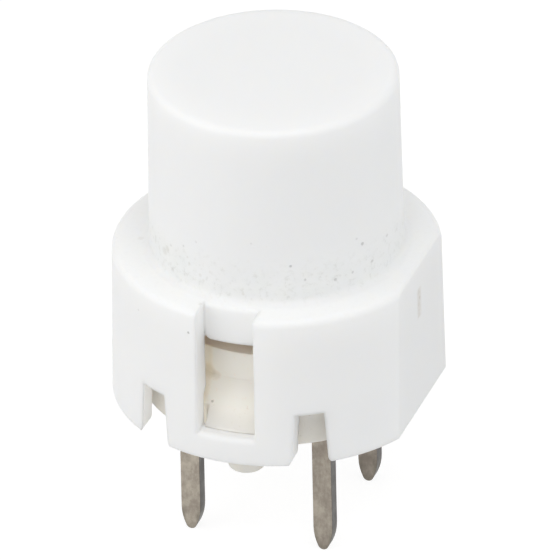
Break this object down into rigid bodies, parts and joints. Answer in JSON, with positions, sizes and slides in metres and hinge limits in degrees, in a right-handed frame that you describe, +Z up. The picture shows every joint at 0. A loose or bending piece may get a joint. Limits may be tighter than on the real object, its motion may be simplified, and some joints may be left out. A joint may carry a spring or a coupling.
{
  "type": "round momentary key switch for a circuit board",
  "caption": "Round white push-key switch with a one-piece button and skirt, sliding on a cream base with flat circuit board pins.",
  "frame": {"origin": "centre of the pin pattern on the circuit board's top face, under the switch", "axes": "+Z up along the button's travel axis, away from the board; +X towards the flat side of the skirt; -Y towards one of the two catch windows, called the front"},
  "size_m": [0.0116, 0.0122, 0.0182],
  "materials": {
    "cap_plastic": "satin white moulding, slightly soiled",
    "base_plastic": "satin cream moulding",
    "tinned_brass": "dull tin plating",
    "contact_metal": "silver plating",
    "disc_metal": "bare phosphor bronze",
    "spring_wire": "drawn stainless wire"
  },
  "bodies": {
    "base": {"base": "base_plastic", "terminal_front": "tinned_brass", "terminal_rear": "tinned_brass", "fixed_contact_front": "contact_metal", "fixed_contact_rear": "contact_metal", "return_spring": "spring_wire"},
    "cap": {"cap": "cap_plastic", "contact_spring": "spring_wire"},
    "disc": {"contact_disc": "disc_metal", "disc_contact_front": "contact_metal", "disc_contact_rear": "contact_metal"}
  },
  "joints": [
    {"name": "cap_slide", "type": "slide", "parent": "base", "child": "cap", "axis": [0, 0, -1], "range_m": [0, 0.0009], "stiffness_N_per_m": 250, "springref_m": -0.003, "deforming": ["return_spring"]},
    {"name": "disc_slide", "type": "slide", "parent": "cap", "child": "disc", "axis": [0, 0, 1], "range_m": [0, 0.0004], "stiffness_N_per_m": 5, "springref_m": -0.0004, "deforming": ["contact_spring"]}
  ],
  "couplings": [
    {"joint": "disc_slide", "follows": "cap_slide", "ratio": 0.4444}
  ]
}
